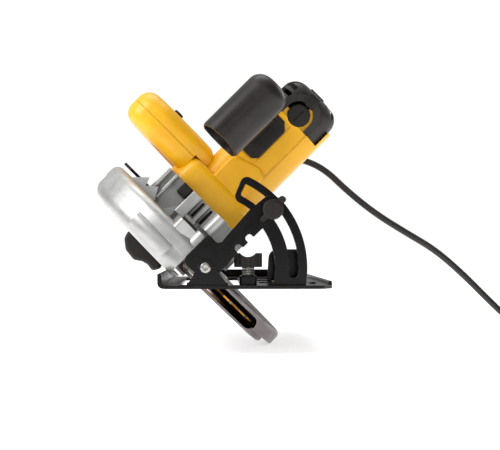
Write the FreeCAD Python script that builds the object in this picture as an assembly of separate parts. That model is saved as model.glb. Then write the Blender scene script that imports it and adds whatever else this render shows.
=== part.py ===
"""Corded circular saw, 190 mm blade, shown with the head tilted 45 degrees and the guard closed.

Row frame: origin at the centre of the shoe's sole, +Z up, -Y the front of the saw, +X the motor side.
Head frame, used for all that tilts: origin on the bevel pivot, x along the motor shaft, y as in the row,
z up when the head is upright. place_head turns the head frame by the bevel angle about the pivot.
Every size is in millimetres.
"""
import FreeCAD, Part
import math
import os

V = FreeCAD.Vector
X_AXIS = V(1, 0, 0)
Y_AXIS = V(0, 1, 0)
Z_AXIS = V(0, 0, 1)

# ---- driving dimensions -------------------------------------------------------------------------
BEVEL = 45.0                       # tilt of the head at rest, degrees
SHOE_W, SHOE_L, SHOE_T = 152.0, 300.0, 3.0
PIVOT_X, PIVOT_Z = -34.6, 18.0     # bevel axis, along Y
BLADE_R, BLADE_T = 95.0, 1.6
BLADE_X = -7.0                     # blade plane in the head frame
SPIN_Y, SPIN_Z = -15.0, 10.0       # spindle axis, along the head's x
MOTOR_Z = 38.8                     # armature axis, above the spindle
SWING_Y, SWING_Z = -126.0, 20.0    # depth pivot, along the head's x
BOLT_REACH, BOLT_ANGLE = 200.0, 2.0    # depth bolt from the depth pivot
DEPTH_SWING = 28.0
GUARD_R, GUARD_X0, GUARD_X1 = 121.0, -26.0, 9.0
LOWER_R, LOWER_X0, LOWER_X1 = 107.0, -17.0, 4.0
CASE_X1 = 41.0                     # gear case meets the motor housing
HOUSE_X1 = 153.0                   # motor housing meets the end cap
END_X = 189.0
GEAR_TEETH, PINION_TEETH = 36, 12
GEAR_MODULE = 2 * (MOTOR_Z - SPIN_Z) / (GEAR_TEETH + PINION_TEETH)
HANDLE_X0, HANDLE_X1 = 46.0, 82.0
QUADRANT_SLOT_R, SLOT_W = 76.3, 8.0
CORD_R = 3.6
FLOOR_Z = -57.0                    # the surface that the lower guard's tip just clears
COIL_C = (358.0, 77.4)
COIL_R = 43.0
COIL_TURN = 2 * CORD_R
COIL_LANE = COIL_R + 1.5 * COIL_TURN
COIL_TAIL = 38.0
TAIL_Z = FLOOR_Z + CORD_R + COIL_TURN
FIT = 0.06                         # radial running clearance of a shaft

os.makedirs("parts", exist_ok=True)


# ---- helpers ------------------------------------------------------------------------------------
def place_head(shape):
    """Turn a shape from the head frame into the row frame."""
    shape = shape.copy()
    shape.rotate(V(0, 0, 0), Y_AXIS, -BEVEL)
    shape.translate(V(PIVOT_X, 0, PIVOT_Z))
    return shape


def save(node, shape, head=True):
    """Write one node; a list becomes a group of separate solids."""
    if isinstance(shape, (list, tuple)):
        shape = Part.makeCompound(list(shape))
    if head:
        shape = place_head(shape)
    if not shape.isValid():
        print("INVALID", node)
    print(f"{node:24s} {len(shape.Solids)} solids {shape.Volume:12.1f} mm3")
    shape.exportStep(f"parts/{node}.step")


def block(x0, x1, y0, y1, z0, z1):
    return Part.makeBox(x1 - x0, y1 - y0, z1 - z0, V(x0, y0, z0))


def rod(x0, x1, y, z, r):
    """A cylinder along the x axis."""
    return Part.makeCylinder(r, x1 - x0, V(x0, y, z), X_AXIS)


def rod_y(y0, y1, x, z, r):
    return Part.makeCylinder(r, y1 - y0, V(x, y0, z), Y_AXIS)


def rod_z(z0, z1, x, y, r):
    return Part.makeCylinder(r, z1 - z0, V(x, y, z0), Z_AXIS)


def tube(x0, x1, y, z, r_out, r_in):
    return rod(x0, x1, y, z, r_out).cut(rod(x0 - 1, x1 + 1, y, z, r_in))


def outline(points, plane, level):
    """A face from corner points (a, b) or (a, b, radius), in plane "yz", "xz" or "xy"."""
    lift = {
        "yz": lambda a, b: V(level, a, b),
        "xz": lambda a, b: V(a, level, b),
        "xy": lambda a, b: V(a, b, level),
    }[plane]
    count = len(points)
    edges = []
    ends = []
    for i, point in enumerate(points):
        here = V(point[0], point[1], 0)
        radius = point[2] if len(point) > 2 else 0
        if not radius:
            ends.append((here, None, here))
            continue
        before = V(*points[i - 1][:2], 0) - here
        after = V(*points[(i + 1) % count][:2], 0) - here
        before.normalize()
        after.normalize()
        half = before.getAngle(after) / 2
        reach = radius / math.tan(half)
        middle = before + after
        middle.normalize()
        centre = here + middle * (radius / math.sin(half))
        ends.append((here + before * reach, centre - middle * radius, here + after * reach))
    for i, (start, middle, end) in enumerate(ends):
        if middle is not None:
            arc = [lift(p.x, p.y) for p in (start, middle, end)]
            edges.append(Part.Arc(*arc).toShape())
        following = ends[(i + 1) % count][0]
        if (following - end).Length > 1e-6:
            edges.append(Part.LineSegment(lift(end.x, end.y), lift(following.x, following.y)).toShape())
    return Part.Face(Part.Wire(edges))


def slab(points, plane, low, high):
    """An outline extruded from low to high along the plane's normal axis."""
    normal = {"yz": X_AXIS, "xz": Y_AXIS, "xy": Z_AXIS}[plane]
    return outline(points, plane, low).extrude(normal * (high - low))


def box_points(a0, a1, b0, b1, r):
    return [(a0, b0, r), (a1, b0, r), (a1, b1, r), (a0, b1, r)]


def ease(shape, radius, wanted):
    """Round the edges that the test picks; a smaller radius is tried where the kernel refuses one."""
    edges = [e for e in shape.Edges if wanted(e)]
    for scale in (1.0, 0.7, 0.45, 0.25):
        try:
            eased = shape.makeFillet(radius * scale, edges)
            if eased.isValid() and eased.Volume > 0.5 * shape.Volume:
                return eased
        except Part.OCCError:
            continue
    print("edges left sharp", radius)
    return shape


def largest(shape):
    """The main solid, where a cut has left crumbs."""
    return max(shape.Solids, key=lambda s: s.Volume)


def at_x(x):
    """Edges that lie in the plane of that x."""
    return lambda e: abs(e.BoundBox.XMin - x) < 0.01 and abs(e.BoundBox.XMax - x) < 0.01


def at_y(y):
    return lambda e: abs(e.BoundBox.YMin - y) < 0.01 and abs(e.BoundBox.YMax - y) < 0.01


def along_y_at(*places):
    """Edges along y that pass within half a millimetre of one of the (x, z) places."""
    def test(edge):
        box = edge.BoundBox
        near = [math.hypot(box.Center.x - x, box.Center.z - z) < 0.5 for x, z in places]
        return box.YLength > 1 and any(near)
    return test


def at_z(z):
    return lambda e: abs(e.BoundBox.ZMin - z) < 0.01 and abs(e.BoundBox.ZMax - z) < 0.01


def spun(points, y, z):
    """An (x, radius) outline turned about the axis along x through (y, z)."""
    face = outline([(x, z + r, *rest) for x, r, *rest in points], "xz", y)
    return face.revolve(V(0, y, z), X_AXIS, 360)


def hex_head(x0, x1, y, z, across):
    """A hexagon head along x."""
    r = across / math.sqrt(3)
    points = [(y + r * math.cos(math.radians(60 * k)),
            z + r * math.sin(math.radians(60 * k))) for k in range(6)]
    return slab(points, "yz", x0, x1)


def screw_x(x0, x1, y, z, r, head_r, toward=1):
    """A pan-head screw along x with a cross socket; the head is at x1 for toward=1, at x0 for -1."""
    head_t = head_r * 0.6
    seat = x1 - head_t if toward > 0 else x0
    shank = rod(x0, x1, y, z, r)
    head = rod(seat, seat + head_t, y, z, head_r)
    top = x1 if toward > 0 else x0
    head = ease(head, head_t * 0.45, at_x(top))
    socket_x = x1 - head_t * 0.6 if toward > 0 else x0
    wide, thin = head_r * 0.5, head_r * 0.15
    cross = block(socket_x, socket_x + head_t * 0.6, y - wide, y + wide, z - thin, z + thin)
    cross = cross.fuse(block(socket_x, socket_x + head_t * 0.6, y - thin, y + thin, z - wide, z + wide))
    return shank.fuse(head).cut(cross)


def screw_room(x0, x1, y, z, r, head_r):
    """The hole that a screw_x with its head at x1 needs."""
    return rod(x0 - 0.3, x1, y, z, r + 0.05).fuse(rod(x1 - head_r * 0.6 - 0.02, x1 + 20, y, z,
            head_r + 0.2))


def gear(teeth, x0, x1, y, z, bore, phase, tip, root):
    """A spur gear with straight-flanked teeth, thinned for backlash, about an axis along x."""
    pitch_r = teeth * GEAR_MODULE / 2
    step = 2 * math.pi / teeth
    shares = ((-0.34, root), (-0.12, tip), (0.12, tip), (0.34, root))
    points = []
    for k in range(teeth):
        for share, reach in shares:
            angle = (k + share) * step + phase
            r = pitch_r + reach * GEAR_MODULE
            points.append((y + r * math.sin(angle), z + r * math.cos(angle)))
    return slab(points, "yz", x0, x1).cut(rod(x0 - 1, x1 + 1, y, z, bore))


# ---- shoe ---------------------------------------------------------------------------------------
SLOT_X0, SLOT_X1, SLOT_Y0, SLOT_Y1 = -57.0, -3.0, -127.0, 97.0
LUG_Y0, LUG_Y1 = -146.5, -144.0
REAR_LUG_Y0, REAR_LUG_Y1 = 133.3, 136.3
FENCE_X, FENCE_Y = 2.5, -126.5
BAR_Z0, BAR_Z1, CLAMP_TOP = 5.4, 9.6, 11.0    # channel for a rip-fence bar
QUAD_Y0, QUAD_Y1 = -140.7, -138.2
QUAD_FOOT_X = (PIVOT_X + 54, PIVOT_X + 87)


def shoe_plate():
    """Stamped sole plate with a rolled left edge, the blade slot, beads and a tapered right corner."""
    half_w, half_l = SHOE_W / 2, SHOE_L / 2
    sole = slab(
        [(-half_w, -half_l, 4), (half_w - 10, -half_l, 8), (half_w, -half_l + 16, 10), (half_w, half_l, 14),
         (-half_w, half_l, 4)], "xy", 0, SHOE_T)
    lip_profile = [(-half_w, 0, 5), (-half_w + 14, 0), (-half_w + 14, SHOE_T), (-half_w + 4.5, SHOE_T, 2),
                   (-half_w + 3, 13), (-half_w, 13, 1)]
    lip = slab(lip_profile, "xz", -half_l + 6, half_l - 6)
    corner = block(-half_w - 1, -half_w + 6, -half_l - 1, half_l + 1, -1, 6)
    right = slab([(half_w - 3, 0), (half_w, 0, 1), (half_w, 6.5, 1.4), (half_w - 3, 6.5, 1.4)],
                 "xz", -half_l + 21, half_l - 15)
    shoe = sole.cut(corner).fuse(lip).fuse(right)
    shoe = shoe.cut(slab(box_points(SLOT_X0, SLOT_X1, SLOT_Y0, SLOT_Y1, 6), "xy", -1, 20))
    for x in (46, 62):
        bead = slab(box_points(x - 3, x + 3, -100, 120, 2.9), "xy", SHOE_T, SHOE_T + 1.6)
        shoe = shoe.fuse(ease(bead, 1.2, at_z(SHOE_T + 1.6)))
    for y in (-70, 0, 70):
        shoe = shoe.cut(slab(box_points(14, 34, y - 22, y + 22, 7), "xy", -1, 5))
    return shoe.removeSplitter()


def hinge_lug(y0, y1):
    """Triangular ear that holds a bevel pivot screw over the shoe."""
    ear = slab(
        [(PIVOT_X - 16, SHOE_T), (PIVOT_X + 19.5, SHOE_T), (PIVOT_X + 6.8, PIVOT_Z + 2, 3),
         (PIVOT_X + 3.5, PIVOT_Z + 7, 5), (PIVOT_X - 4, PIVOT_Z + 7, 5), (PIVOT_X - 6.5, PIVOT_Z + 1, 3)],
        "xz", y0, y1)
    inward = 1 if y0 < 0 else -1
    foot_y = sorted((y0 if inward > 0 else y1, (y1 if inward > 0 else y0) + inward * 13))
    foot = block(PIVOT_X - 16, PIVOT_X + 19.5, foot_y[0], foot_y[1], SHOE_T, SHOE_T + 2.2)
    return ear.fuse(foot).cut(rod_y(y0 - 1, y1 + 1, PIVOT_X, PIVOT_Z, 3.0))


def arc_band(r0, r1, start, end, y0, y1):
    """A flat ring sector about the bevel axis, angles from +X towards +Z, in degrees."""
    full = rod_y(y0, y1, PIVOT_X, PIVOT_Z, r1).cut(rod_y(y0 - 1, y1 + 1, PIVOT_X, PIVOT_Z, r0))
    reach = r1 * 2
    keep = [(PIVOT_X, PIVOT_Z)]
    for k in range(5):
        angle = math.radians(start + (end - start) * k / 4)
        keep.append((PIVOT_X + reach * math.cos(angle), PIVOT_Z + reach * math.sin(angle)))
    return full.common(slab(keep, "xz", y0 - 1, y1 + 1))


def polar(r, angle):
    """Point (x, z) in the row frame at a radius and angle about the bevel axis."""
    return PIVOT_X + r * math.cos(math.radians(angle)), PIVOT_Z + r * math.sin(math.radians(angle))


def bevel_quadrant():
    """Slotted stamping that the bevel bolt clamps to, with its foot and a short rear flange."""
    r_in, r_out, low, top = 60.0, 88.0, -3.6, 68.0
    arm_in, arm_out, arm_slot, knee = 63.5, 87.0, 69.5, 44.0
    slot_r0, slot_r1 = QUADRANT_SLOT_R - SLOT_W / 2, QUADRANT_SLOT_R + SLOT_W / 2
    slot_end = top - 3.6
    arm = arc_band(arm_in, arm_out, knee - 3, top, QUAD_Y0, QUAD_Y1)
    arm = ease(arm, 6, along_y_at(polar(arm_in, top), polar(arm_out, top)))
    band = arc_band(r_in, r_out, -14, knee, QUAD_Y0, QUAD_Y1).fuse(arm)
    slot = arc_band(slot_r0, slot_r1, low, slot_end, QUAD_Y0 - 1, QUAD_Y1 + 1)
    wide = arc_band(arm_slot, slot_r1, knee, slot_end, QUAD_Y0 - 1, QUAD_Y1 + 1)
    wide = ease(wide, 2, along_y_at(polar(arm_slot, slot_end)))
    x, z = polar(QUADRANT_SLOT_R, low)
    slot = slot.fuse(rod_y(QUAD_Y0 - 1, QUAD_Y1 + 1, x, z, SLOT_W / 2)).fuse(wide)
    foot_x0, foot_x1 = QUAD_FOOT_X
    band = band.cut(block(-100, 100, -200, 200, -20, SHOE_T)).cut(block(foot_x1 + 0.8, 100, -200, 200,
            -20, 12))
    foot = block(foot_x0, foot_x1, QUAD_Y0, QUAD_Y1 + 25, SHOE_T, SHOE_T + 2.2)
    flange = slab(
        [(foot_x0, SHOE_T), (foot_x1, SHOE_T), (foot_x1, 34, 8), (foot_x0 + 2, 34, 8)],
        "xz", QUAD_Y1 + 22.5, QUAD_Y1 + 25)
    whole = band.fuse(foot).fuse(flange)
    for x in (foot_x0 + 8, foot_x1 - 2.1):
        rib = slab([(QUAD_Y1, SHOE_T + 2.2), (QUAD_Y1 + 3.5, SHOE_T + 2.2), (QUAD_Y1, SHOE_T + 13)],
                "yz", x - 2, x + 2)
        whole = whole.fuse(rib)
    return whole.cut(slot).removeSplitter()


def fence_clamp():
    """Block that guides a rip-fence bar across the shoe, under the clamp knob."""
    body = slab(box_points(FENCE_X - 7.4, FENCE_X + 7.4, FENCE_Y - 10, FENCE_Y + 10, 3), "xy", SHOE_T,
            CLAMP_TOP)
    body = ease(body, 1.0, at_z(CLAMP_TOP))
    return body.cut(block(-100, 100, FENCE_Y - 7.5, FENCE_Y + 7.5, BAR_Z0, BAR_Z1)).cut(
        rod_z(9, CLAMP_TOP + 1, FENCE_X, FENCE_Y, 2.9 + FIT))


def helix_rings(z0, z1, count, r, wire_r):
    """A compression spring as closed wire rings joined by a thin seat strip on one side."""
    pitch = (z1 - z0 - 2 * wire_r) / (count - 1)
    rings = [Part.makeTorus(r, wire_r, V(FENCE_X, FENCE_Y, z0 + wire_r + k * pitch)) for k in range(count)]
    strip = rod_z(z0 + wire_r, z1 - wire_r, FENCE_X + r, FENCE_Y, wire_r * 0.8)
    whole = strip
    for ring in rings:
        whole = whole.fuse(ring)
    return whole


def fence_knob():
    """Clamp knob with a lobed rim and a saddle across its top."""
    z0, z1 = PIVOT_Z + 0.5, PIVOT_Z + 12.7
    knob = rod_z(z0, z1, FENCE_X, FENCE_Y, 12.3)
    for k in range(12):
        angle = math.radians(30 * k + 15)
        knob = knob.cut(rod_z(z0 - 1, z1 + 1, FENCE_X + 13.2 * math.cos(angle),
                FENCE_Y + 13.2 * math.sin(angle), 1.7))
    saddle = Part.makeCylinder(9.0, 30, V(FENCE_X, FENCE_Y - 15, z1 + 5.5), Y_AXIS)
    return knob.cut(saddle).cut(rod_z(z0 - 1, z1, FENCE_X, FENCE_Y, 2.9))


def build_shoe():
    save("shoe_plate", shoe_plate(), head=False)
    save("front_hinge_lug", hinge_lug(LUG_Y0, LUG_Y1), head=False)
    save("rear_hinge_lug", hinge_lug(REAR_LUG_Y0, REAR_LUG_Y1), head=False)
    save("bevel_quadrant", bevel_quadrant(), head=False)
    rail = slab([(-28, SHOE_T), (38, SHOE_T), (38, 11, 3), (-28, 11, 3)], "xz", 141.5, 144)
    rail = rail.cut(block(PIVOT_X - 17, PIVOT_X + 8, 100, 200, SHOE_T, 6)).fuse(block(-8, 38, 141.5,
            149, SHOE_T, SHOE_T + 2))
    save("rear_rail", rail, head=False)
    save("fence_clamp", fence_clamp(), head=False)
    save("fence_spring", helix_rings(CLAMP_TOP, PIVOT_Z + 0.3, 5, 4.9, 0.6), head=False)
    save("fence_knob", fence_knob(), head=False)
    save("fence_screw", rod_z(BAR_Z1 + 0.1, PIVOT_Z + 7, FENCE_X, FENCE_Y, 2.9), head=False)
    rivets = []
    spots = [(PIVOT_X - 10, -137.5), (PIVOT_X + 13, -137.5), (PIVOT_X - 10, 127), (PIVOT_X + 13, 127),
             (QUAD_FOOT_X[0] + 6, QUAD_Y1 + 14), (QUAD_FOOT_X[1] - 6, QUAD_Y1 + 14)]
    for x, y in spots:
        rivet = rod_z(SHOE_T + 2.2, SHOE_T + 3.6, x, y, 3.0)
        rivets.append(ease(rivet, 0.9, at_z(SHOE_T + 3.6)))
    save("shoe_rivets", rivets, head=False)
    screws = []
    for y0, y1, toward in ((-149.5, -140.5, -1), (129.0, 140.0, 1)):
        screw = screw_x(y0, y1, 0, 0, 2.94, 4.8, toward)
        screw.rotate(V(0, 0, 0), Z_AXIS, 90)
        screw.translate(V(PIVOT_X, 0, PIVOT_Z))
        screws.append(screw)
    save("bevel_pivot_screws", screws, head=False)


# ---- tilt frame ---------------------------------------------------------------------------------
ARM_Y0, ARM_Y1 = -143.7, -141.2
BOLT_ARM_ANGLE = -4.0
REAR_PLATE_Y0, REAR_PLATE_Y1 = 129.8, 132.8
STRAP_X0, STRAP_X1 = 12.3, 15.3


def bevel_bracket():
    """Front bracket: an arm from the bevel axis to the bevel bolt, and the ear of the depth pivot."""
    arm = slab(
        [(-9, -7, 5), (0, -12, 6), (24, -10.5), (29, -10.5, 1), (29, -5, 2.6), (35.2, -5, 2.6),
            (35.2, -10.5, 1),
         (41.5, -10.5, 1), (41.5, -5.5, 2.6), (48, -5.5, 2.6), (48, -10.5, 1), (80, -11, 5), (86.5, -6, 5),
         (84, 6.5, 5), (62, 8.5, 5), (24, 6, 4), (15.5, 19, 4), (-10, 19, 6)], "xz", ARM_Y0, ARM_Y1)
    arm = arm.cut(rod_y(-150, -130, 0, 0, 3.0))
    bolt_x, bolt_z = bevel_bolt_place()
    arm = arm.cut(rod_y(-150, -130, bolt_x, bolt_z, 3.0))
    ear = slab(
        [(ARM_Y1, 0), (SWING_Y + 4, 8, 4), (SWING_Y + 9, 18, 6), (SWING_Y + 7, 34, 6),
            (SWING_Y - 6, 34, 5), (ARM_Y1, 19)],
        "yz", 19, 22)
    web = block(14, 22, ARM_Y0, ARM_Y1, 0, 19)
    return arm.fuse(web).fuse(ear).cut(rod(18, 23, SWING_Y, SWING_Z, 4.0)).removeSplitter()


def strap_point(r, angle):
    return SWING_Y + r * math.cos(math.radians(angle)), SWING_Z + r * math.sin(math.radians(angle))


def depth_strap():
    """Rear bracket: a plate on the rear bevel pivot and the slotted arc that the depth bolt clamps."""
    low, high = -7.0, BOLT_ANGLE + DEPTH_SWING + 3
    band = rod(STRAP_X0, STRAP_X1, SWING_Y, SWING_Z, BOLT_REACH + 9).cut(
        rod(STRAP_X0 - 1, STRAP_X1 + 1, SWING_Y, SWING_Z, BOLT_REACH - 9))
    wedge = [(SWING_Y, SWING_Z)] + [strap_point(400, low + (high - low) * k / 3) for k in range(4)]
    band = band.common(slab(wedge, "yz", STRAP_X0 - 1, STRAP_X1 + 1))
    slot = rod(STRAP_X0 - 1, STRAP_X1 + 1, SWING_Y, SWING_Z, BOLT_REACH + 3.3).cut(
        rod(STRAP_X0 - 2, STRAP_X1 + 2, SWING_Y, SWING_Z, BOLT_REACH - 3.3))
    ends = (BOLT_ANGLE, BOLT_ANGLE + DEPTH_SWING)
    wedge = [(SWING_Y, SWING_Z)] + [strap_point(400, ends[0] + DEPTH_SWING * k / 3) for k in range(4)]
    slot = slot.common(slab(wedge, "yz", STRAP_X0 - 1, STRAP_X1 + 1))
    for angle in ends:
        y, z = strap_point(BOLT_REACH, angle)
        slot = slot.fuse(rod(STRAP_X0 - 1, STRAP_X1 + 1, y, z, 3.3))
    foot = slab([(64, -9, 3), (REAR_PLATE_Y1, -9), (REAR_PLATE_Y1, 11, 6), (66, 12, 3)], "yz", STRAP_X0,
            STRAP_X1)
    plate = slab(
        [(-10, -9, 7), (STRAP_X1, -9), (STRAP_X1, 11), (-10, 11, 7)], "xz", REAR_PLATE_Y0, REAR_PLATE_Y1)
    whole = band.fuse(foot).fuse(plate).cut(slot)
    return whole.cut(rod_y(120, 140, 0, 0, 3.0)).removeSplitter()


def bevel_bolt_place():
    angle = math.radians(BOLT_ARM_ANGLE)
    return QUADRANT_SLOT_R * math.cos(angle), QUADRANT_SLOT_R * math.sin(angle)


def bevel_knob():
    """Wing knob with a domed disc and two wings along the arm."""
    x, z = bevel_bolt_place()
    disc = ease(rod_y(-157, -151, x, z, 8.8), 2.0, at_y(-157))
    stem = rod_y(-151, ARM_Y0 - 0.2, x, z, 5.0)
    wings = slab(
        [(x - 14.5, z - 2.2, 2), (x + 14.5, z - 2.8, 2.6), (x + 14.5, z + 3.6, 3), (x - 14.5, z + 2.4, 2)],
        "xz", -156, -151.4)
    return disc.fuse(stem).fuse(wings).cut(rod_y(-153, -140, x, z, 2.95 + FIT)).removeSplitter()


def build_tilt_frame():
    save("bevel_bracket", bevel_bracket())
    save("depth_strap", depth_strap())
    x, z = bevel_bolt_place()
    square = block(x - 3.4, x + 3.4, QUAD_Y0 - 0.1, QUAD_Y1 + 0.1, z - 3.4, z + 3.4)
    bolt = rod_y(-153, QUAD_Y1 + 0.5, x, z, 2.95).fuse(rod_y(QUAD_Y1 + 0.3, QUAD_Y1 + 3, x, z, 6.5))
    bolt = bolt.cut(square).fuse(rod_y(QUAD_Y0 - 1, QUAD_Y1 + 1, x, z, 2.95))
    save("bevel_bolt", bolt.removeSplitter())
    save("bevel_knob", bevel_knob())
    pin = rod(10.5, 40.0, SWING_Y, SWING_Z, 3.94)
    save("depth_pivot_pin", pin)


# ---- upper guard and gear case ------------------------------------------------------------------
CASE_FRONT = -92.0
HUB_R = 23.7


def guard_profile(x0, x1, r, left, right):
    """Half section of a blade cover about the spindle, closed at both sides and open inwards."""
    return [(x0, 0), (x1, 0), (x1, r, right), (x0, r, left)]


def upper_guard():
    """Cast cover over the top of the blade, hollow, with the depth pivot boss and the depth bolt boss."""
    shell = spun(
        [(GUARD_X0, 0), (GUARD_X1, 0), (GUARD_X1, GUARD_R, 8), (-6.2, GUARD_R), (-6.2, GUARD_R - 0.7),
         (GUARD_X0, GUARD_R - 0.7, 12)], SPIN_Y, SPIN_Z)
    bulge = spun([(GUARD_X0 + 3, 100), (-6, 100), (-6, GUARD_R + 1.6, 5),
            (GUARD_X0 + 3, GUARD_R + 1.6, 11)],
                 SPIN_Y, SPIN_Z).common(block(-40, 20, -160, -60, 34, 76))
    shell = shell.fuse(bulge)
    boss = rod(GUARD_X1 - 3, 18.6, SWING_Y, SWING_Z, 8.5)
    boss_web = slab([(SWING_Y - 4, 13, 3), (-100, 24), (-84, 52), (SWING_Y - 6, 46, 4)], "yz",
            GUARD_X1 - 3, 16)
    bolt_y, bolt_z = strap_point(BOLT_REACH, BOLT_ANGLE)
    bolt_boss = rod(GUARD_X1 - 3, 12.0, bolt_y, bolt_z, 9)
    shell = shell.fuse(boss).fuse(boss_web).fuse(bolt_boss)
    cavity = spun(guard_profile(GUARD_X0 + 3, GUARD_X1 - 3, GUARD_R - 3.2, 9, 5.5), SPIN_Y, SPIN_Z)
    shell = shell.cut(cavity)
    shell = shell.cut(rod(GUARD_X0 - 1, GUARD_X0 + 10, SPIN_Y, SPIN_Z, 64))
    below = slab([(-200, -200), (200, -200), (200, 9), (60, 9), (SPIN_Y, 9), (-100, 13), (-112, 18),
            (-200, 20)],
                 "yz", -60, GUARD_X1 - 3)
    shell = shell.cut(below)
    right_below = slab([(-200, -200), (200, -200), (200, 4), (30, 4), (18, -10), (-48, -10), (-60, 4),
            (-200, 12)],
                       "yz", GUARD_X1 - 3.01, 60)
    shell = shell.cut(right_below)
    shell = shell.cut(rod(0, 20, SPIN_Y, SPIN_Z, HUB_R + 0.02))
    shell = shell.cut(rod(0, 30, bolt_y, bolt_z, 3.0)).cut(rod(9.5, 30, SWING_Y, SWING_Z, 4.0))
    gusset_levels = ((108, 90), (98, 76), (67, 56))
    for top, low in gusset_levels:
        rib = slab([(GUARD_X1 - 1, top), (GUARD_X1 + 12, (top + low) / 2 - 4), (GUARD_X1 - 1, low)],
                "xz", -78, -74)
        reach = spun([(-30, 0), (40, 0), (40, 117), (-30, 117)], SPIN_Y, SPIN_Z)
        shell = shell.fuse(rib.common(reach))
    return shell.removeSplitter()


def gear_case():
    """Cast gear case between the guard and the motor, hollow, with its hub, ribs and pivot arm."""
    x0 = GUARD_X1 + 0.02
    outer = slab(
        [(-66, -2, 10), (-44, -11, 14), (16, -11, 14), (36, 4, 12), (34, 62, 14), (14, 90, 10),
            (-62, 90, 8),
         (-68, 60, 6)], "yz", x0, CASE_X1)
    outer = outer.fuse(rod(x0, 26, SPIN_Y, SPIN_Z, 27))
    pocket = slab(
        [(-60, 1, 8), (-42, -8, 12), (13, -8, 12), (32, 6, 10), (30, 60, 12), (11, 74, 8), (-54, 74, 6),
            (-60, 56, 5)],
        "yz", x0 + 3, CASE_X1 + 1)
    pocket = pocket.fuse(rod(x0 + 3, 24, SPIN_Y, SPIN_Z, 24.4))
    case = outer.cut(pocket)
    bar = slab([(-66, 46), (CASE_FRONT, 46, 2), (CASE_FRONT, 57, 2), (-66, 57)], "yz", 16.2, CASE_X1)
    case = case.fuse(bar)
    for level in (28.2, 37.6):
        rib = block(20, CASE_X1, CASE_FRONT + 3, -62, level - 1.6, level + 1.6)
        case = case.fuse(rib)
    case = case.fuse(block(18.5, 21.5, CASE_FRONT + 1, -62, 20, 48))
    arm = slab([(-64, 6), (-64, 19), (SWING_Y, SWING_Z + 6.2), (SWING_Y, SWING_Z - 6.0), (-110, 14),
            (-90, 6)], "yz", 22.3, CASE_X1 - 0.5)
    boss = rod(22.3, CASE_X1 - 0.5, SWING_Y, SWING_Z, 6.1)
    case = case.fuse(arm).fuse(boss)
    for low, high in ((76.5, 80), (85, 89)):
        case = case.fuse(slab([(-56, low), (-74, low, 1.5), (-74, high, 1.5), (-56, high)], "yz", 13,
                CASE_X1))
    hub = rod(0.0, 12.1, SPIN_Y, SPIN_Z, HUB_R)
    case = case.fuse(hub)
    case = case.cut(rod(-1, CASE_X1, SPIN_Y, SPIN_Z, 9)).cut(rod(-1, 9, SPIN_Y, SPIN_Z, 16))
    case = case.cut(rod(20, CASE_X1, SWING_Y, SWING_Z, 4.0))
    wall = block(30, 33, -54, 40, -20, 80).common(outer)
    seat = tube(26, 33, SPIN_Y, SPIN_Z, 16, 12).fuse(tube(33, 39, SPIN_Y, MOTOR_Z, 16, 13))
    wall = wall.fuse(seat).cut(rod(20, 45, SPIN_Y, SPIN_Z, 12)).cut(rod(29, 45, SPIN_Y, MOTOR_Z, 13))
    case = case.cut(block(29.4, 41.6, -88, -56.8, 57.4, 68.4))
    return case.fuse(wall).removeSplitter()


def lower_guard():
    """Hollow retracting guard: two side walls and a stepped rim, with a window along its front."""
    step_x, step_r, wall = -10.5, 97.6, 1.8
    shell = spun(
        [(LOWER_X0, 0), (LOWER_X1, 0), (LOWER_X1, LOWER_R, 5), (step_x, LOWER_R, 1.5), (step_x, step_r),
            (LOWER_X0, step_r, 3)],
        SPIN_Y, SPIN_Z)
    inner_r, inner_step = LOWER_R - 2.2, step_r - wall
    cavity = spun(
        [(LOWER_X0 + wall, 0), (LOWER_X1 - wall, 0), (LOWER_X1 - wall, inner_r, 4),
            (step_x + wall, inner_r, 1),
         (step_x + wall, inner_step), (LOWER_X0 + wall, inner_step, 2)], SPIN_Y, SPIN_Z)
    shell = shell.cut(cavity)
    shell = shell.cut(rod(LOWER_X0 - 1, LOWER_X0 + 3, SPIN_Y, SPIN_Z, 44))
    upper = slab([(-250, 22), (SPIN_Y - 40, 12), (SPIN_Y - 34, 44, 8), (SPIN_Y + 34, 44, 8),
            (SPIN_Y + 46, 10), (250, -2),
                  (250, 250), (-250, 250)], "yz", -40, 20)
    shell = shell.cut(upper)
    window = slab([(-14.6, -70, 6.4), (-1.2, -70, 6.4), (-1.2, 60), (-14.6, 60)], "xz", -250, -32)
    shell = shell.cut(window)
    hub = rod(0.5, LOWER_X1, SPIN_Y, SPIN_Z, 31).cut(rod(-1, LOWER_X1 + 1, SPIN_Y, SPIN_Z, HUB_R + FIT))
    return shell.cut(rod(0, 5, SPIN_Y, SPIN_Z, 30)).fuse(hub).removeSplitter()


def guard_lever():
    """Thumb piece that draws the guard back, with a stem that passes beside the upper guard."""
    stem = slab([(26, 32, 2), (39, 28, 3), (38, 37, 3), (27, 42, 3)], "yz", -33, LOWER_X0 - 0.02)
    thumb = slab(
        [(-30.2, 33, 2), (-37, 31, 4), (-43.5, 35, 4), (-42.4, 43, 4), (-44, 49, 3), (-49, 56, 7),
            (-47.5, 69, 9),
         (-40, 78.5, 9), (-30.2, 81, 3)], "xz", 23, 45)
    thumb = ease(thumb, 4, lambda e: at_y(23)(e) or at_y(45)(e))
    return stem.fuse(thumb)


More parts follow.
